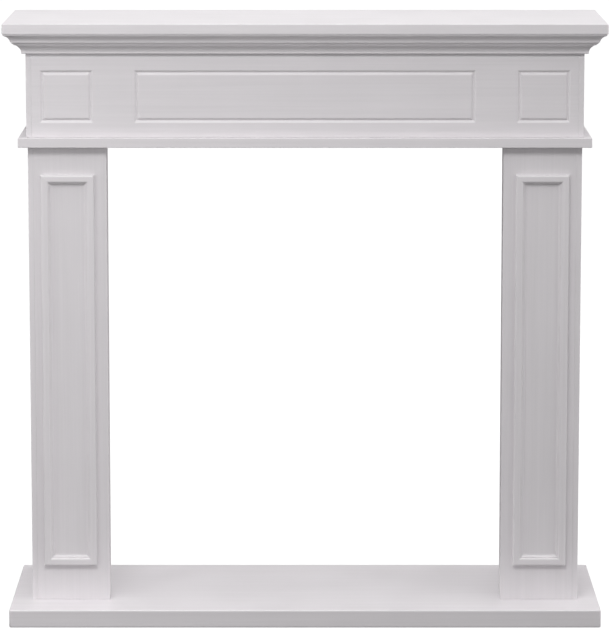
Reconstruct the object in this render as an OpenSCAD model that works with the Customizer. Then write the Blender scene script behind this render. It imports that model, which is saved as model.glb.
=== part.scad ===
// Fireplace mantelpiece: a white painted board surround with a hearth base, two panelled legs,
// a grooved frieze between a ledge and a crown moulding, and a shelf on top.
// +Z is up, the front faces -Y, X runs along the shelf, and the back is one flat plane.

/* [Shelf] */
// Length of the top shelf
shelf_w = 1000; // [800:1:1400]
// Depth of the top shelf, from the wall to its front edge
shelf_d = 300; // [220:1:420]
// Thickness of the top shelf
shelf_t = 16; // [12:1:40]

/* [Hearth base] */
// How far each end of the shelf reaches past the end of the hearth base
shelf_past_base = 4; // [0:0.5:20]
// Depth of the hearth base, from the wall to its front edge
base_d = 340; // [300:1:500]
// Thickness of the hearth base
base_t = 30; // [20:1:60]

/* [Crown moulding] */
// How far the shelf overhangs the face of the frieze, in front and at both ends
shelf_overhang = 36.5; // [33:0.5:60]
// Set-back of the crown moulding's top from the edge of the shelf
crown_inset = 1.5; // [1:0.1:4]
// Height of the crown moulding
crown_h = 35.2; // [34:0.1:60]
// How far the crown's bottom fillet stands proud of the frieze
crown_foot = 6.5; // [4:0.5:12]

/* [Frieze] */
// Height of the frieze face that shows between ledge and crown
frieze_face_h = 139.8; // [110:0.2:220]
// Thickness of the front board of the frieze
front_t = 16; // [12:1:25]
// Thickness of the side boards of the frieze and the legs
side_t = 9; // [6:1:20]

/* [Frieze grooves] */
// Width of a groove at the face
groove_w = 8.5; // [3:0.5:12]
// Width of the flat at the bottom of a groove
groove_flat = 1.5; // [0.5:0.5:2.5]
// Depth of a groove
groove_depth = 3; // [1:0.5:6]
// Height of the groove centre above the ledge
groove_above_ledge = 28.5; // [15:0.5:45]
// Drop of the groove centre below the crown
groove_below_crown = 31.8; // [15:0.1:45]
// Distance of the outer groove centre from the end of the frieze
groove_end = 27; // [20:1:60]
// Width of each small end panel, between groove centres
end_panel_w = 80; // [40:1:120]
// Space between an end panel and the long middle panel
panel_gap = 77; // [30:1:120]

/* [Ledge] */
// How far the ledge stands out from the frieze, in front and at both ends
ledge_out = 13.5; // [5:0.5:30]
// Thickness of the ledge
ledge_t = 16; // [12:1:30]

/* [Legs] */
// Height of a leg, from the hearth base to the ledge
leg_h = 772; // [500:1:1200]
// Width of a leg seen from the front
leg_w = 131; // [100:1:200]
// How far the legs stand in from the faces of the frieze
leg_inset = 2; // [0:0.5:10]
// Thickness of the front board of a leg
leg_front_t = 16; // [12:1:25]
// Depth of the inner return behind the front board
return_d = 24; // [10:1:120]
// Thickness of the inner return
return_t = 12; // [6:1:20]

/* [Leg frames] */
// Space between the edge of a leg and the outer edge of its frame
frame_side = 21; // [10:1:30]
// Space above the frame, up to the ledge
frame_above = 47; // [20:1:120]
// Space below the frame, down to the hearth base
frame_below = 60; // [20:1:160]
// Width of the frame's moulding strip
strip_w = 18.5; // [15:0.5:26]
// Height of the strip above the face of the leg
strip_h = 8; // [7:0.5:12]

/* [Hidden] */

paint = [0.83, 0.83, 0.85];
past = 1;                       // how far a cutter reaches past the face that it cuts

// Places across and up
base_w = shelf_w - 2 * shelf_past_base;
frieze_w = shelf_w - 2 * shelf_overhang;
ledge_w = frieze_w + 2 * ledge_out;
legs_w = frieze_w - 2 * leg_inset;
leg_z = base_t;
ledge_z = leg_z + leg_h;
frieze_z = ledge_z + ledge_t;
frieze_h = frieze_face_h + crown_h;
shelf_z = frieze_z + frieze_h;

// Places from back to front
back_y = base_d / 2;
shelf_y = back_y - shelf_d;
frieze_y = shelf_y + shelf_overhang;
ledge_y = frieze_y - ledge_out;
leg_y = frieze_y + leg_inset;

// Frame round the middle of a leg
frame_w = leg_w - 2 * frame_side;
frame_h = leg_h - frame_above - frame_below;
frame_z = leg_z + frame_below;

// Crown profile, measured out from the frieze and down from the shelf
crown_out = shelf_overhang - crown_inset;
bead_r = 2.2;                   // small bead at the top
bead_flat = 1.2;                // upright edge above the bead
hollow_r = 13;                  // upper hollow, by its radius and its slopes from level
hollow_from = 16;
hollow_to = 78;
round_r = 10;                   // rounded member below it
round_from = 60;
round_to = 26;
fillet_h = 1.2;                 // thin upright fillet above and below the rounded member
fillet_in = 1.3;                // step in below the upper fillet
cove_step = [2.4, 0.2];         // step in and down to the cove
cove_from = 35;                 // slopes of the cove from level
cove_to = 84;
foot_h = 3;                     // upright fillet at the foot
foot_round = 1.6;               // rounded lower edge of the foot

// An arc that turns from slope a to slope b while it goes in by w and down by h from p
function member(p, w, h, a, b, n, first = 0) = [for (i = [first:n]) let (t = a + (b - a) * i / n)
    [p[0] - w * (sin(t) - sin(a)) / (sin(b) - sin(a)),
     p[1] - h * (cos(t) - cos(a)) / (cos(b) - cos(a))]];

hollow_in = hollow_r * (sin(hollow_to) - sin(hollow_from));
hollow_h = hollow_r * (cos(hollow_from) - cos(hollow_to));
round_in = round_r * (sin(round_from) - sin(round_to));
round_h = round_r * (cos(round_to) - cos(round_from));
hollow_start = [crown_out - bead_r, -bead_flat - bead_r];
round_start = hollow_start - [hollow_in + fillet_in, hollow_h + fillet_h];
cove_start = round_start - [round_in, round_h + fillet_h] - cove_step;
foot_start = [crown_foot, foot_h - crown_h];

function crown_profile() = concat(
    [[0, 0], [crown_out, 0]],
    member([crown_out, -bead_flat], bead_r, bead_r, 90, 0, 5),
    member(hollow_start, hollow_in, hollow_h, hollow_from, hollow_to, 8, first = 1),
    [[round_start[0] + fillet_in, round_start[1]]],
    member(round_start, round_in, round_h, round_from, round_to, 5),
    [[cove_start[0] + cove_step[0], cove_start[1] + cove_step[1]]],
    member(cove_start, cove_start[0] - crown_foot, cove_start[1] - foot_start[1], cove_from, cove_to, 8),
    member([crown_foot, foot_round - crown_h], foot_round, foot_round, 90, 0, 4),
    [[0, -crown_h]]);

// Strip profile, measured in from the strip's outer edge and up from the leg's face
strip_round = 3;                // rounded outer edge
shoulder_w = 3.9;               // rounded shoulder at the inner end of the flat top
shoulder_drop = 3.6;
tread_w = 1.2;                  // level tread between shoulder and cove
cove_w = 4.2;                   // hollow slope down to the panel
strip_lip = 0.8;                // height of the inner edge
shoulder_x = strip_w - cove_w - tread_w - shoulder_w;
tread_z = strip_h - shoulder_drop;

function strip_profile(n) = concat(
    [[0, 0]],
    [for (i = [0:n]) [strip_round - strip_round * cos(90 * i / n),
        strip_h - strip_round + strip_round * sin(90 * i / n)]],
    [for (i = [0:n]) [shoulder_x + shoulder_w * sin(90 * i / n),
        strip_h - shoulder_drop * (1 - cos(90 * i / n))]],
    [for (i = [0:n]) [strip_w - cove_w * cos(90 * i / n),
        tread_z - (tread_z - strip_lip) * sin(90 * i / n)]],
    [[strip_w, 0]]);

// A board given by its left, right, front, back, bottom and top
module board(x0, x1, y0, y1, z0, z1) {
    translate([x0, y0, z0]) cube([x1 - x0, y1 - y0, z1 - z0]);
}

// ---- Hearth base and shelf ----

module hearth_base() {
    color(paint) board(-base_w / 2, base_w / 2, back_y - base_d, back_y, 0, base_t);
}

module mantel_shelf() {
    color(paint) board(-shelf_w / 2, shelf_w / 2, shelf_y, back_y, shelf_z, shelf_z + shelf_t);
}

// ---- Legs, built for the right side (side = 1) and mirrored for the left (side = -1) ----

module on_side(side) {
    mirror([side < 0 ? 1 : 0, 0, 0]) children();
}

outer_x = legs_w / 2;
inner_x = outer_x - leg_w;

module leg_front(side) {
    color(paint) on_side(side)
        board(inner_x, outer_x - side_t, leg_y, leg_y + leg_front_t, leg_z, ledge_z);
}

module leg_side(side) {
    color(paint) on_side(side) board(outer_x - side_t, outer_x, leg_y, back_y, leg_z, ledge_z);
}

module leg_return(side) {
    return_y = leg_y + leg_front_t;
    color(paint) on_side(side)
        board(inner_x, inner_x + return_t, return_y, return_y + return_d, leg_z, ledge_z);
}

// ---- Mitred frame on the face of each leg ----

// One strip lying along +X on the leg's face, its outer edge at z = 0 and its profile inwards
module strip(length) {
    intersection() {
        rotate([90, 0, 90]) linear_extrude(length)
            polygon([for (p = strip_profile(5)) [-p[1], p[0]]]);
        translate([0, past, 0]) rotate([90, 0, 0]) linear_extrude(strip_h + 2 * past)
            polygon([[0, 0], [length, 0], [length - strip_w, strip_w], [strip_w, strip_w]]);
    }
}

// Turns a strip by a whole number of quarter turns about the frame's corners
module frame_strip(side, edge) {
    frame_x = outer_x - frame_side - frame_w;
    color(paint) on_side(side) translate([frame_x, leg_y, frame_z]) {
        if (edge == "bottom") strip(frame_w);
        if (edge == "outer") translate([frame_w, 0, 0]) rotate([0, -90, 0]) strip(frame_h);
        if (edge == "top") translate([frame_w, 0, frame_h]) rotate([0, 180, 0]) strip(frame_w);
        if (edge == "inner") translate([0, 0, frame_h]) rotate([0, 90, 0]) strip(frame_h);
    }
}

// ---- Ledge and frieze ----

module ledge() {
    color(paint) board(-ledge_w / 2, ledge_w / 2, ledge_y, back_y, ledge_z, frieze_z);
}

// Block that narrows from w x h at the face to w2 x h2 at the bottom of the groove
module tapered_block(w, h, w2, h2) {
    over = past / groove_depth;
    w1 = w + (w - w2) * over;
    h1 = h + (h - h2) * over;
    intersection() {
        translate([0, 0, -max(h1, h2)]) linear_extrude(2 * max(h1, h2))
            polygon([[-w1 / 2, -past], [w1 / 2, -past], [w2 / 2, groove_depth], [-w2 / 2, groove_depth]]);
        translate([-max(w1, w2), 0, 0]) rotate([90, 0, 90]) linear_extrude(2 * max(w1, w2))
            polygon([[-past, -h1 / 2], [-past, h1 / 2], [groove_depth, h2 / 2], [groove_depth, -h2 / 2]]);
    }
}

// Groove round a panel of w x h, measured between groove centres
module panel_groove(w, h) {
    difference() {
        tapered_block(w + groove_w, h + groove_w, w + groove_flat, h + groove_flat);
        tapered_block(w - groove_w, h - groove_w, w - groove_flat, h - groove_flat);
    }
}

groove_h = frieze_face_h - groove_above_ledge - groove_below_crown;
middle_panel_w = frieze_w - 2 * (groove_end + end_panel_w + panel_gap);
end_panel_x = frieze_w / 2 - groove_end - end_panel_w / 2;

module frieze_board() {
    color(paint) difference() {
        board(-frieze_w / 2 + side_t, frieze_w / 2 - side_t,
              frieze_y, frieze_y + front_t, frieze_z, shelf_z);
        translate([0, frieze_y, frieze_z + groove_above_ledge + groove_h / 2]) {
            panel_groove(middle_panel_w, groove_h);
            for (side = [-1, 1])
                translate([side * end_panel_x, 0, 0]) panel_groove(end_panel_w, groove_h);
        }
    }
}

module frieze_side(side) {
    color(paint) on_side(side)
        board(frieze_w / 2 - side_t, frieze_w / 2, frieze_y, back_y, frieze_z, shelf_z);
}

// ---- Crown moulding, mitred at the two front corners ----

module crown_front() {
    color(paint) translate([0, frieze_y, shelf_z]) intersection() {
        translate([-shelf_w / 2, 0, 0]) rotate([90, 0, 90]) linear_extrude(shelf_w)
            polygon([for (p = crown_profile()) [-p[0], p[1]]]);
        translate([0, 0, -crown_h - past]) linear_extrude(crown_h + 2 * past)
            polygon([[-frieze_w / 2, 0], [frieze_w / 2, 0],
                     [frieze_w / 2 + shelf_overhang, -shelf_overhang],
                     [-frieze_w / 2 - shelf_overhang, -shelf_overhang]]);
    }
}

module crown_return(side) {
    color(paint) on_side(side) intersection() {
        translate([frieze_w / 2, back_y, shelf_z]) rotate([90, 0, 0])
            linear_extrude(back_y - shelf_y) polygon(crown_profile());
        translate([0, 0, shelf_z - crown_h - past]) linear_extrude(crown_h + 2 * past)
            polygon([[frieze_w / 2, frieze_y],
                     [frieze_w / 2 + shelf_overhang, frieze_y - shelf_overhang],
                     [frieze_w / 2 + shelf_overhang, back_y], [frieze_w / 2, back_y]]);
    }
}

hearth_base();
leg_front(-1);  // left_leg_front
leg_side(-1);  // left_leg_side
leg_return(-1);  // left_leg_return
frame_strip(-1, "top");  // left_frame_top
frame_strip(-1, "bottom");  // left_frame_bottom
frame_strip(-1, "outer");  // left_frame_outer
frame_strip(-1, "inner");  // left_frame_inner
leg_front(1);  // right_leg_front
leg_side(1);  // right_leg_side
leg_return(1);  // right_leg_return
frame_strip(1, "top");  // right_frame_top
frame_strip(1, "bottom");  // right_frame_bottom
frame_strip(1, "outer");  // right_frame_outer
frame_strip(1, "inner");  // right_frame_inner
ledge();
frieze_board();
frieze_side(-1);  // left_frieze_side
frieze_side(1);  // right_frieze_side
crown_front();
crown_return(-1);  // crown_left
crown_return(1);  // crown_right
mantel_shelf();
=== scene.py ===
"""Looks of a white painted fireplace mantelpiece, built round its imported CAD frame.

Metres, +Z up, the front faces -Y, the back is one flat plane on +Y and X runs along the shelf.
The sections follow the piece as it is put together, from the hearth base up to the shelf.
"""
import math

import bpy
import numpy as np
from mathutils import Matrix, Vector


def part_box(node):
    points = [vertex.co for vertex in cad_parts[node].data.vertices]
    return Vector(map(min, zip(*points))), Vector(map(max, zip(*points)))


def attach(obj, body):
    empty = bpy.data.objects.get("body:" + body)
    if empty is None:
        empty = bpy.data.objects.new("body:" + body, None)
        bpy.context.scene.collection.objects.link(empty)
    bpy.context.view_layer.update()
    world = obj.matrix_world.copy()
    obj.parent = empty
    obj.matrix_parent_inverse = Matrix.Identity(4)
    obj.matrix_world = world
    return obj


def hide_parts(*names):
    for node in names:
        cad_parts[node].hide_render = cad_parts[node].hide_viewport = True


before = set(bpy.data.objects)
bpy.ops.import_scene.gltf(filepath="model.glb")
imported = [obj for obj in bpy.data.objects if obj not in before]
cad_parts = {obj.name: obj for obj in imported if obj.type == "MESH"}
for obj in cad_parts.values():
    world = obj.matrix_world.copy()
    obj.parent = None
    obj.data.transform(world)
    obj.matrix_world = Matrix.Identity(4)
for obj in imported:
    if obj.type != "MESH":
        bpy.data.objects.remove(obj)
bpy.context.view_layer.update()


# ---- Hearth base ----
# A thick board of smooth fibreboard under the whole surround, spray painted satin white.
# Its arrises are sanded to a small radius and the two legs stand on it, screwed from below.

MM = 0.001
X, Y, Z = 0, 1, 2

BASE_EASE = 2.2 * MM
BASE_CORNER = 3.2 * MM

PAINT_LIGHT = (0.806, 0.776, 0.798)
PAINT_DARK = (0.765, 0.737, 0.757)
TONE_RANGE = (0.35, 0.65)
FINE_STREAK = (0.0038, 0.22)
FINE_WAVER = 0.4
FINE_SHARE = 0.45
BROAD_STREAK = (0.012, 0.40)
BROAD_WAVER = 0.6
BROAD_SHARE = 0.35
CLOUD_SIZE = 0.09
CLOUD_SHARE = 0.2
CLOUD_RANGE = (0.3, 0.7)
NOISE_DETAIL = 2.0
ROUGHNESS_RANGE = (0.38, 0.46)
PEEL_SIZE = 0.0022
PEEL_SHARE = 0.6
PEEL_STRENGTH = 0.25
PEEL_HEIGHT = 0.1 * MM


def satin_paint(name, along):
    """Satin white paint whose faint streaks lie along one axis of the board.

    The tone swings between two whites: 0.45 of a fine noise and 0.35 of a broad one, both
    stretched along the board, plus 0.2 of a cloud. The gloss follows the cloud, and the bump is
    a sprayed texture with a trace of the fine streaks.
    """
    material = bpy.data.materials.new(name)
    material.use_nodes = True
    tree = material.node_tree
    shader = tree.nodes["Principled BSDF"]
    place = tree.nodes.new("ShaderNodeTexCoord")

    def noise(across, length, waver):
        """Noise in cells that are length long along the board and across wide both other ways."""
        sizes = [across] * 3
        sizes[along] = length
        turned = tree.nodes.new("ShaderNodeMapping")
        turned.inputs["Scale"].default_value = [1 / size for size in sizes]
        field = tree.nodes.new("ShaderNodeTexNoise")
        field.inputs["Scale"].default_value = 1.0
        field.inputs["Detail"].default_value = NOISE_DETAIL
        field.inputs["Distortion"].default_value = waver
        tree.links.new(place.outputs["Object"], turned.inputs["Vector"])
        tree.links.new(turned.outputs["Vector"], field.inputs["Vector"])
        return field.outputs["Fac"]

    def spread(value, given, wanted):
        """The value stretched in a straight line from the given range to the wanted one."""
        ramp = tree.nodes.new("ShaderNodeMapRange")
        ramp.inputs["From Min"].default_value, ramp.inputs["From Max"].default_value = given
        ramp.inputs["To Min"].default_value, ramp.inputs["To Max"].default_value = wanted
        tree.links.new(value, ramp.inputs["Value"])
        return ramp.outputs["Result"]

    def added(first, first_share, second, second_share):
        """first * first_share + second * second_share."""
        total = tree.nodes.new("ShaderNodeMath")
        total.operation = "MULTIPLY_ADD"
        tree.links.new(first, total.inputs[0])
        total.inputs[1].default_value = first_share
        scaled = tree.nodes.new("ShaderNodeMath")
        scaled.operation = "MULTIPLY"
        tree.links.new(second, scaled.inputs[0])
        scaled.inputs[1].default_value = second_share
        tree.links.new(scaled.outputs["Value"], total.inputs[2])
        return total.outputs["Value"]

    fine = noise(*FINE_STREAK, FINE_WAVER)
    broad = noise(*BROAD_STREAK, BROAD_WAVER)
    clouds = noise(CLOUD_SIZE, CLOUD_SIZE, 0.0)
    peel = noise(PEEL_SIZE, PEEL_SIZE, 0.0)

    streaks = added(fine, FINE_SHARE, broad, BROAD_SHARE)
    mixed = added(streaks, 1.0, clouds, CLOUD_SHARE)
    tone = tree.nodes.new("ShaderNodeMix")
    tone.data_type = "RGBA"
    tone.inputs["A"].default_value = (*PAINT_DARK, 1)
    tone.inputs["B"].default_value = (*PAINT_LIGHT, 1)
    tree.links.new(spread(mixed, TONE_RANGE, (0.0, 1.0)), tone.inputs["Factor"])
    tree.links.new(tone.outputs["Result"], shader.inputs["Base Color"])

    gloss = spread(clouds, CLOUD_RANGE, ROUGHNESS_RANGE)
    tree.links.new(gloss, shader.inputs["Roughness"])

    bump = tree.nodes.new("ShaderNodeBump")
    bump.inputs["Strength"].default_value = PEEL_STRENGTH
    bump.inputs["Distance"].default_value = PEEL_HEIGHT
    tree.links.new(added(peel, PEEL_SHARE, fine, 1.0), bump.inputs["Height"])
    tree.links.new(bump.outputs["Normal"], shader.inputs["Normal"])
    return material


paint_along = {
    X: satin_paint("satin_paint_long_boards", X),
    Y: satin_paint("satin_paint_end_boards", Y),
    Z: satin_paint("satin_paint_upright_boards", Z),
}


def node_box(node):
    """The lowest and the highest corner of a CAD node, each as an array."""
    low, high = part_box(node)
    return np.array(low), np.array(high)


def new_piece(name, points, faces, smooth, grain, node):
    """One closed mesh piece that stands for a CAD node, its faces turned outwards.

    The sum of a . (b x c) over the triangles that fan out from each face's first corner is six
    times the signed volume; if it is negative every face is reversed. The edges round each flat
    face are marked sharp, so the rounded faces beside it keep their own shading.
    """
    six_volumes = 0.0
    for face in faces:
        fan = points[np.asarray(face)]
        six_volumes += (np.cross(fan[1:-1], fan[2:]) @ fan[0]).sum()
    if six_volumes < 0:
        faces = [face[::-1] for face in faces]
    mesh = bpy.data.meshes.new(name)
    mesh.from_pydata(points.tolist(), [], faces)
    mesh.polygons.foreach_set("use_smooth", smooth)
    edge_of_corner = np.empty(len(mesh.loops), dtype=int)
    mesh.loops.foreach_get("edge_index", edge_of_corner)
    flat_corner = np.repeat(~np.asarray(smooth), [len(face) for face in faces])
    sharp = np.zeros(len(mesh.edges), dtype=bool)
    sharp[edge_of_corner[flat_corner]] = True
    mesh.edges.foreach_set("use_edge_sharp", sharp)
    mesh.materials.append(paint_along[grain])
    mesh.update()
    piece = bpy.data.objects.new(name, mesh)
    bpy.context.scene.collection.objects.link(piece)
    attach(piece, "root")
    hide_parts(node)
    return piece


CORNER_STEPS = 6
EASE_STEPS = 5


def eased_board(name, node, thick, grain, ease, corner):
    """A flat board with rounded arrises, filling the box of its CAD node.

    A rounded rectangle is stacked through the board's thickness. Near each face it shrinks by
    ease * (1 - sin a) while it moves in by ease * (1 - cos a), a from 0 to 90 degrees.
    """
    low, high = node_box(node)
    first, second = (thick + 1) % 3, (thick + 2) % 3
    middle = (low + high) / 2
    half = (high - low) / 2
    quarter = np.linspace(0, math.pi / 2, CORNER_STEPS)
    turn = (quarter + np.arange(4)[:, None] * math.pi / 2).ravel()
    first_sign = np.repeat([1, -1, -1, 1], CORNER_STEPS)
    second_sign = np.repeat([1, 1, -1, -1], CORNER_STEPS)

    bend = np.linspace(0, math.pi / 2, EASE_STEPS)
    inset = ease * (1 - np.sin(bend))
    depth = ease * (1 - np.cos(bend))
    insets = np.concatenate([inset, inset[::-1]])
    levels = np.concatenate([low[thick] + depth, (high[thick] - depth)[::-1]])

    radius = corner - insets[:, None]
    first_centre = middle[first] + first_sign * (half[first] - corner)
    second_centre = middle[second] + second_sign * (half[second] - corner)
    rings = np.empty((len(insets), len(turn), 3))
    rings[:, :, first] = first_centre + radius * np.cos(turn)
    rings[:, :, second] = second_centre + radius * np.sin(turn)
    rings[:, :, thick] = levels[:, None]

    count = len(turn)
    here = np.arange(count)
    following = (here + 1) % count
    faces = [here[::-1].tolist()]
    smooth = [False]
    on_corner = (here + 1) % CORNER_STEPS != 0
    for level in range(len(insets) - 1):
        below, above = level * count, (level + 1) * count
        ring = [below + here, below + following, above + following, above + here]
        faces += np.stack(ring, axis=1).tolist()
        upright = level == EASE_STEPS - 1
        smooth += (on_corner if upright else np.ones(count, bool)).tolist()
    faces.append((here + (len(insets) - 1) * count).tolist())
    smooth.append(False)
    return new_piece(name, rings.reshape(-1, 3), faces, smooth, grain, node)


eased_board("hearth_board", "hearth_base", Z, X, BASE_EASE, BASE_CORNER)


# ---- Legs ----
# Each leg is a hollow upright of three painted boards: the front board, an outer side board
# that runs back to the wall, and a narrow return on the inner edge. Butted, glued and filled.

LEG_EASE = 0.7 * MM
LEG_CORNER = 0.9 * MM

for side in ("left", "right"):
    eased_board(side + "_leg_front_board", side + "_leg_front", Y, Z, LEG_EASE, LEG_CORNER)
    eased_board(side + "_leg_side_board", side + "_leg_side", X, Z, LEG_EASE, LEG_CORNER)
    eased_board(side + "_leg_inner_return", side + "_leg_return", X, Z, LEG_EASE, LEG_CORNER)


# ---- Frames on the legs ----
# Four lengths of painted panel moulding, mitred at the corners and pinned on each leg.
# Rounded outside, flat on top, then a rounded shoulder, a narrow tread and a hollow inside.

STRIP_ROUND = 3.0 * MM
SHOULDER_WIDTH = 3.9 * MM
SHOULDER_DROP = 3.6 * MM
TREAD_WIDTH = 1.2 * MM
COVE_WIDTH = 4.2 * MM
STRIP_LIP = 0.8 * MM
STRIP_STEPS = 9


def unit(axis, sign=1):
    """A vector of length 1 along one axis, or against it where sign is -1."""
    vector = np.zeros(3)
    vector[axis] = sign
    return vector


def mitred_length(name, node, members, corner, run, out, up, length, mitres, grain):
    """A straight length of moulding, closed by a cut at each end.

    The profile (o, h) sits at corner + o * out + h * up and is carried along run. The first cut
    starts at -o * mitres[0] and the last at length + o * mitres[1]: 1 grows outwards, -1 shrinks.
    """
    profile = np.concatenate([points for points, is_curved in members])
    curved = []
    for points, is_curved in members:
        curved += [is_curved] * (len(points) - 1) + [False]
    offset = profile[:, :1]
    section = corner + offset * out + profile[:, 1:] * up
    start = section - mitres[0] * offset * run
    end = section + (length + mitres[1] * offset) * run
    count = len(profile)
    here = np.arange(count)
    following = (here + 1) % count
    quads = np.stack([here, following, count + following, count + here], axis=1)
    faces = quads.tolist() + [here[::-1].tolist(), (here + count).tolist()]
    smooth = curved + [False, False]
    return new_piece(name, np.concatenate([start, end]), faces, smooth, grain, node)


def strip_members(width, height):
    """Members of the frame moulding, as o in from its outer edge and h up from the leg.

    Each is a quarter of an ellipse in the sine and cosine of its turn: the outer round, the
    shoulder that falls from the top to the tread, and the hollow that falls on to the lip.
    """
    quarter = np.linspace(0, math.pi / 2, STRIP_STEPS)
    sine, cosine = np.sin(quarter), np.cos(quarter)
    tread_height = height - SHOULDER_DROP
    shoulder_start = width - COVE_WIDTH - TREAD_WIDTH - SHOULDER_WIDTH
    rounded = np.stack([STRIP_ROUND * (1 - cosine), height - STRIP_ROUND * (1 - sine)], axis=1)
    shoulder = np.stack([shoulder_start + SHOULDER_WIDTH * sine,
                         height - SHOULDER_DROP * (1 - cosine)], axis=1)
    cove = np.stack([width - COVE_WIDTH * cosine,
                     tread_height - (tread_height - STRIP_LIP) * sine], axis=1)
    return [(np.array([[0.0, 0.0]]), False), (rounded, True), (shoulder, True), (cove, True),
            (np.array([[width, 0.0]]), False)]


for side, inward in (("left", 1), ("right", -1)):
    outer_low, outer_high = node_box(side + "_frame_outer")
    inner_low, inner_high = node_box(side + "_frame_inner")
    low, high = np.minimum(outer_low, inner_low), np.maximum(outer_high, inner_high)
    strip = strip_members(outer_high[X] - outer_low[X], high[Y] - low[Y])
    outer_x, inner_x = (low[X], high[X]) if side == "left" else (high[X], low[X])
    wide, tall = high[X] - low[X], high[Z] - low[Z]
    face = high[Y]
    lengths = {
        "outer": ((outer_x, face, low[Z]), unit(Z), unit(X, inward), tall, Z),
        "inner": ((inner_x, face, low[Z]), unit(Z), unit(X, -inward), tall, Z),
        "bottom": ((low[X], face, low[Z]), unit(X), unit(Z), wide, X),
        "top": ((low[X], face, high[Z]), unit(X), unit(Z, -1), wide, X),
    }
    for edge, (corner, run, out, length, grain) in lengths.items():
        node = side + "_frame_" + edge
        mitred_length(node + "_moulding", node, strip, np.array(corner), run, out, unit(Y, -1),
                      length, (-1, -1), grain)


# ---- Ledge ----
# A board of painted fibreboard across the top of the legs, glued and screwed down on them.
# It stands out a finger's width in front and at both ends, and the frieze box stands on it.

LEDGE_EASE = 0.9 * MM
LEDGE_CORNER = 1.2 * MM

eased_board("ledge_board", "ledge", Z, X, LEDGE_EASE, LEDGE_CORNER)


# ---- Frieze ----
# A box of one painted front board between two side boards. Three rectangles are routed into the
# front with a round-nosed cutter: a small one over each leg and a long one between them.

FRIEZE_EASE = 0.7 * MM
FRIEZE_CORNER = 0.9 * MM
GROOVE_HALF = 4.25 * MM
GROOVE_DEPTH = 3.0 * MM
GROOVE_STEPS = 13
GROOVE_MARGIN = 1.12
GROOVE_END = 27 * MM
END_PANEL = 80 * MM
PANEL_GAP = 77 * MM
GROOVE_ABOVE_LEDGE = 28.5 * MM
GROOVE_BELOW_CROWN = 31.8 * MM
LEVEL_WITHIN = 0.0001 * MM

for side in ("left", "right"):
    eased_board(side + "_frieze_end", side + "_frieze_side", X, Y, FRIEZE_EASE, FRIEZE_CORNER)


def frieze_front(name, node, top_of_face):
    """The grooved front board of the frieze.

    The face is a grid whose lines crowd round the grooves. The distance q from a groove's centre
    is | max(|x - cx| - w/2, |z - cz| - h/2) |, which mitres the corners, and the depth is
    depth * (1 + cos(pi * q / half)) / 2 inside the half width. The outer arrises roll off by
    a quarter circle.
    """
    low, high = node_box(node)
    face_left = node_box("left_frieze_side")[0][X]
    face_right = -face_left
    bottom = low[Z] + GROOVE_ABOVE_LEDGE
    top = top_of_face - GROOVE_BELOW_CROWN
    left_panel = (face_left + GROOVE_END, face_left + GROOVE_END + END_PANEL)
    right_panel = (face_right - GROOVE_END - END_PANEL, face_right - GROOVE_END)
    long_panel = (left_panel[1] + PANEL_GAP, right_panel[0] - PANEL_GAP)
    panels = (left_panel, long_panel, right_panel)

    inside = np.linspace(-1, 1, GROOVE_STEPS)
    across = GROOVE_HALF * np.concatenate([[-GROOVE_MARGIN], inside, [GROOVE_MARGIN]])
    roll = FRIEZE_EASE * (1 - np.cos(np.linspace(0, math.pi / 2, EASE_STEPS)))

    def lines(start, stop, centres):
        """Grid lines from start to stop: close on the arrises and round each groove's centre."""
        grooves = [centre + across for centre in centres]
        return np.concatenate([start + roll, *grooves, stop - roll[::-1]])

    xs = lines(low[X], high[X], [edge for panel in panels for edge in panel])
    zs = lines(low[Z], high[Z], [bottom, top])
    x, z = np.meshgrid(xs, zs)
    sunk = np.zeros_like(x)
    for start, stop in panels:
        beyond_x = abs(x - (start + stop) / 2) - (stop - start) / 2
        beyond_z = abs(z - (bottom + top) / 2) - (top - bottom) / 2
        q = abs(np.maximum(beyond_x, beyond_z)) / GROOVE_HALF
        sunk = np.maximum(sunk, np.where(q < 1, GROOVE_DEPTH * (1 + np.cos(math.pi * q)) / 2, 0))
    edge = np.minimum(np.minimum(x - low[X], high[X] - x), np.minimum(z - low[Z], high[Z] - z))
    short = np.clip(FRIEZE_EASE - edge, 0, FRIEZE_EASE)
    rolled = FRIEZE_EASE - np.sqrt(FRIEZE_EASE ** 2 - short ** 2)
    points = np.stack([x, low[Y] + sunk + rolled, z], axis=2).reshape(-1, 3)

    # Each grid cell is cut along the diagonal whose ends differ most in depth.
    rows, columns = x.shape
    index = np.arange(rows * columns).reshape(rows, columns)
    a, b, c, d = index[:-1, :-1], index[:-1, 1:], index[1:, 1:], index[1:, :-1]
    depth = points[:, Y]
    steeper = abs(depth[a] - depth[c]) >= abs(depth[b] - depth[d])
    from_a = steeper[..., None]
    one = np.where(from_a, np.stack([a, b, c], axis=2), np.stack([a, b, d], axis=2))
    two = np.where(from_a, np.stack([a, c, d], axis=2), np.stack([b, c, d], axis=2))
    faces = np.concatenate([one.reshape(-1, 3), two.reshape(-1, 3)])
    level = np.ptp(depth[faces], axis=1) < LEVEL_WITHIN

    rim = np.concatenate([index[0, :], index[1:, -1], index[-1, -2::-1], index[-2:0:-1, 0]])
    back = points[rim].copy()
    back[:, Y] = high[Y]
    behind = len(points) + np.arange(len(rim))
    sides = np.stack([rim, behind, np.roll(behind, -1), np.roll(rim, -1)], axis=1)
    every = faces.tolist() + sides.tolist() + [behind[::-1].tolist()]
    smooth = (~level).tolist() + [False] * (len(sides) + 1)
    return new_piece(name, np.concatenate([points, back]), every, smooth, X, node)


frieze_front("frieze_front_board", "frieze_board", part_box("crown_front")[0][Z])


# ---- Crown moulding ----
# Three painted lengths under the shelf, mitred at the two front corners and cut square at the
# wall. From the top: bead, hollow, thin fillet, rounded member, thin fillet, cove, foot.

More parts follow.
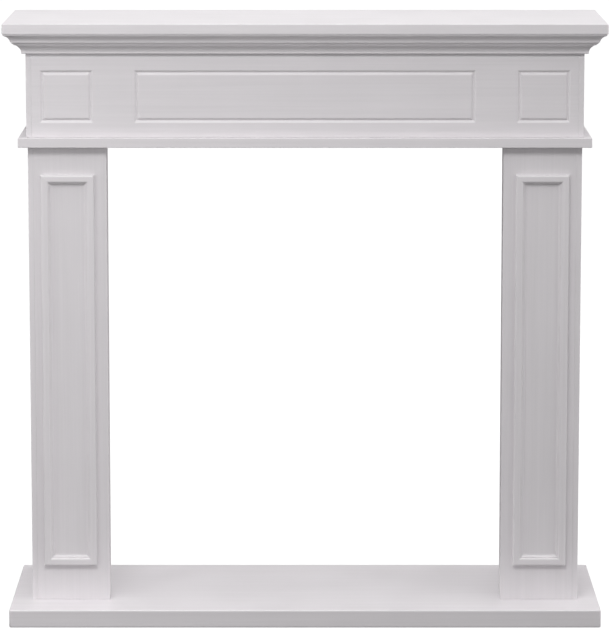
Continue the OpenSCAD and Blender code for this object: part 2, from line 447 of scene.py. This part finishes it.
BEAD_RADIUS = 2.2 * MM
BEAD_FLAT = 1.2 * MM
BEAD_STEPS = 7
QUIRK = 0.3 * MM
HOLLOW_RADIUS = 13.0 * MM
HOLLOW_SLOPES = (16, 78)
HOLLOW_STEPS = 15
ROUND_RADIUS = 10.0 * MM
ROUND_SLOPES = (60, 26)
ROUND_STEPS = 9
FILLET_HEIGHT = 1.2 * MM
FILLET_IN = 1.3 * MM
COVE_STEP = np.array((2.4, 0.2)) * MM
COVE_SLOPES = (35, 84)
COVE_STEPS = 17
FOOT_HEIGHT = 3.0 * MM
FOOT_ROUND = 1.6 * MM
FOOT_STEPS = 6
CROWN_FOOT = 6.5 * MM
QUARTER_TURN = (90, 0)


def arc_member(start, across, down, slopes, count):
    """An arc that turns from one slope to the other while it goes in by across and down by down.

    At the slope t the point is start - (across * (sin t - sin a) / (sin b - sin a),
    down * (cos t - cos a) / (cos b - cos a)), for slopes a to b from level.
    """
    a, b = np.radians(slopes)
    t = np.linspace(a, b, count)
    inwards = across * (np.sin(t) - np.sin(a)) / (np.sin(b) - np.sin(a))
    downwards = down * (np.cos(t) - np.cos(a)) / (np.cos(b) - np.cos(a))
    return np.stack([start[0] - inwards, start[1] - downwards], axis=1)


def arc_span(radius, slopes):
    """How far an arc of one radius goes across and down between two slopes."""
    a, b = np.radians(slopes)
    return radius * abs(np.sin(b) - np.sin(a)), radius * abs(np.cos(b) - np.cos(a))


def crown_members(reach, height):
    """Members of the crown, as o out from the frieze and h up from the shelf's underside.

    Each curved member is an arc given by its radius and its slopes; the cove takes up the rest.
    """
    bead_start = (reach, -BEAD_FLAT)
    bead = arc_member(bead_start, BEAD_RADIUS, BEAD_RADIUS, QUARTER_TURN, BEAD_STEPS)
    hollow_start = bead[-1] - (0, QUIRK)
    hollow_span = arc_span(HOLLOW_RADIUS, HOLLOW_SLOPES)
    hollow = arc_member(hollow_start, *hollow_span, HOLLOW_SLOPES, HOLLOW_STEPS)
    upper_fillet = hollow[-1] - (0, FILLET_HEIGHT)
    round_span = arc_span(ROUND_RADIUS, ROUND_SLOPES)
    rounded = arc_member(upper_fillet - (FILLET_IN, 0), *round_span, ROUND_SLOPES, ROUND_STEPS)
    lower_fillet = rounded[-1] - (0, FILLET_HEIGHT)
    cove_start = lower_fillet - COVE_STEP
    cove_across = cove_start[0] - CROWN_FOOT
    cove_down = cove_start[1] + height - FOOT_HEIGHT
    cove = arc_member(cove_start, cove_across, cove_down, COVE_SLOPES, COVE_STEPS)
    foot_start = (CROWN_FOOT, FOOT_ROUND - height)
    foot = arc_member(foot_start, FOOT_ROUND, FOOT_ROUND, QUARTER_TURN, FOOT_STEPS)
    return [(np.array([[0.0, 0.0], [reach, 0.0]]), False), (bead, True), (hollow, True),
            (upper_fillet[None], False), (rounded, True), (lower_fillet[None], False),
            (cove, True), (foot, True), (np.array([[0.0, -height]]), False)]


crown_low, crown_high = node_box("crown_front")
frieze_face = crown_high[Y]
crown_reach = frieze_face - crown_low[Y]
crown = crown_members(crown_reach, crown_high[Z] - crown_low[Z])
frieze_half = crown_high[X] - crown_reach
crown_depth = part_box("crown_right")[1][Y] - frieze_face

left_corner = np.array((-frieze_half, frieze_face, crown_high[Z]))
mitred_length("crown_front_moulding", "crown_front", crown, left_corner,
              unit(X), unit(Y, -1), unit(Z), 2 * frieze_half, (1, 1), X)
for side, sign in (("left", -1), ("right", 1)):
    node = "crown_" + side
    front_corner = np.array((sign * frieze_half, frieze_face, crown_high[Z]))
    mitred_length(node + "_moulding", node, crown, front_corner,
                  unit(Y), unit(X, sign), unit(Z), crown_depth, (1, 0), Y)


# ---- Shelf ----
# The top board, of the same painted fibreboard as the ledge, with all its arrises eased.
# It is glued down on the frieze box and the crown, and stands out over both.

SHELF_EASE = 0.6 * MM
SHELF_CORNER = 1.6 * MM

eased_board("shelf_board", "mantel_shelf", Z, X, SHELF_EASE, SHELF_CORNER)


# ---- Floor, light and camera ----
# A plain white floor under a white studio dome that only the camera sees. The light is a bright
# ceiling, a pale wall on the right and four large soft lights.

FLOOR_HALF = 40.0
FLOOR_GREY = 0.12
FLOOR_GLOW = 0.95
DOME_RADIUS = 38.0
DOME_HEIGHTS = (-0.1, 1.5)
DOME_RINGS = 9
DOME_SIDES = 32
DOME_GLOW = 1.0


def glowing_white(name, grey, glow):
    """A matt material that gives off even white light and reflects only a share, grey."""
    material = bpy.data.materials.new(name)
    material.use_nodes = True
    shader = material.node_tree.nodes["Principled BSDF"]
    shader.inputs["Base Color"].default_value = (grey, grey, grey, 1)
    shader.inputs["Roughness"].default_value = 1.0
    shader.inputs["Specular IOR Level"].default_value = 0.0
    shader.inputs["Emission Color"].default_value = (1, 1, 1, 1)
    shader.inputs["Emission Strength"].default_value = glow
    return material


floor_mesh = bpy.data.meshes.new("studio_floor")
floor_corners = [(-FLOOR_HALF, -FLOOR_HALF, 0), (FLOOR_HALF, -FLOOR_HALF, 0),
                 (FLOOR_HALF, FLOOR_HALF, 0), (-FLOOR_HALF, FLOOR_HALF, 0)]
floor_mesh.from_pydata(floor_corners, [], [(0, 1, 2, 3)])
floor_mesh.materials.append(glowing_white("floor_white", FLOOR_GREY, FLOOR_GLOW))
floor = bpy.data.objects.new("studio_floor", floor_mesh)
bpy.context.scene.collection.objects.link(floor)
floor.visible_diffuse = False
floor.visible_glossy = False


def studio_dome(radius):
    """A white shell round the studio: radius * (cos u * cos v, sin u * cos v, sin v) for the turn
    u and the height v. It lights nothing and shades nothing."""
    turns = np.linspace(0, 2 * math.pi, DOME_SIDES + 1)[:-1]
    u, v = np.meshgrid(turns, np.linspace(*DOME_HEIGHTS, DOME_RINGS))
    points = radius * np.stack([np.cos(u) * np.cos(v), np.sin(u) * np.cos(v), np.sin(v)], axis=2)
    index = np.arange(u.size).reshape(u.shape)
    beside = np.roll(index, -1, axis=1)
    quads = np.stack([index[:-1], index[1:], beside[1:], beside[:-1]], axis=2).reshape(-1, 4)
    mesh = bpy.data.meshes.new("studio_dome")
    mesh.from_pydata(points.reshape(-1, 3).tolist(), [], quads.tolist() + [index[-1].tolist()])
    mesh.materials.append(glowing_white("dome_white", 0, DOME_GLOW))
    dome = bpy.data.objects.new("studio_dome", mesh)
    bpy.context.scene.collection.objects.link(dome)
    dome.visible_diffuse = False
    dome.visible_glossy = False
    dome.visible_transmission = False
    dome.visible_shadow = False


studio_dome(DOME_RADIUS)

CEILING_LIGHT = 1.38
CEILING_START = 0.5
WALL_LIGHT = 0.87
WALL_START = 0.0

world = bpy.data.worlds.new("studio_room")
world.use_nodes = True
bpy.context.scene.world = world
room = world.node_tree
room_light = room.nodes["Background"]
room_light.inputs["Color"].default_value = (1, 1, 1, 1)
direction = room.nodes.new("ShaderNodeTexCoord")
split = room.nodes.new("ShaderNodeSeparateXYZ")
room.links.new(direction.outputs["Generated"], split.inputs["Vector"])
total = room.nodes.new("ShaderNodeMath")
total.operation = "ADD"
ceiling_and_wall = (("Z", CEILING_START, CEILING_LIGHT), ("X", WALL_START, WALL_LIGHT))
for socket, (axis, start, strength) in enumerate(ceiling_and_wall):
    ramp = room.nodes.new("ShaderNodeMapRange")
    ramp.inputs["From Min"].default_value = start
    ramp.inputs["To Max"].default_value = strength
    room.links.new(split.outputs[axis], ramp.inputs["Value"])
    room.links.new(ramp.outputs["Result"], total.inputs[socket])
room.links.new(total.outputs["Value"], room_light.inputs["Strength"])


def soft_light(name, place, target, size, watts):
    """A rectangular soft light that faces its target."""
    lamp = bpy.data.lights.new(name, "AREA")
    lamp.shape = "RECTANGLE"
    lamp.size, lamp.size_y = size
    lamp.energy = watts
    light = bpy.data.objects.new(name, lamp)
    light.location = place
    toward = Vector(target) - light.location
    light.rotation_euler = toward.to_track_quat("-Z", "Y").to_euler()
    bpy.context.scene.collection.objects.link(light)


soft_light("front_high_light", (-0.35, -2.2, 2.6), (-0.1, 0, 0.5), (1.2, 0.8), 33.0)
soft_light("left_low_light", (-2.2, -2.6, 1.0), (0, 0, 0.5), (1.4, 1.2), 19.7)
soft_light("left_side_light", (-2.3, -0.5, 1.0), (0, -0.2, 0.5), (1.6, 1.6), 13.8)
soft_light("back_high_light", (-0.1, 2.6, 2.4), (0, 0, 0.5), (3.0, 1.6), 20.0)

bpy.context.scene.view_settings.view_transform = "Standard"

CAMERA_PLACE = (0.0, -6.37, 1.54)
CAMERA_DOWN = math.radians(8.93)
CAMERA_LENS = 213.5
CAMERA_SENSOR = 36.0
CAMERA_SHIFT = -0.04
CAMERA_REACH = 100.0

camera_data = bpy.data.cameras.new("studio_camera")
camera_data.sensor_width = CAMERA_SENSOR
camera_data.lens = CAMERA_LENS
camera_data.shift_y = CAMERA_SHIFT
camera_data.clip_end = CAMERA_REACH
camera = bpy.data.objects.new("studio_camera", camera_data)
camera.location = CAMERA_PLACE
camera.rotation_euler = (math.pi / 2 - CAMERA_DOWN, 0, 0)
bpy.context.scene.collection.objects.link(camera)
bpy.context.scene.camera = camera
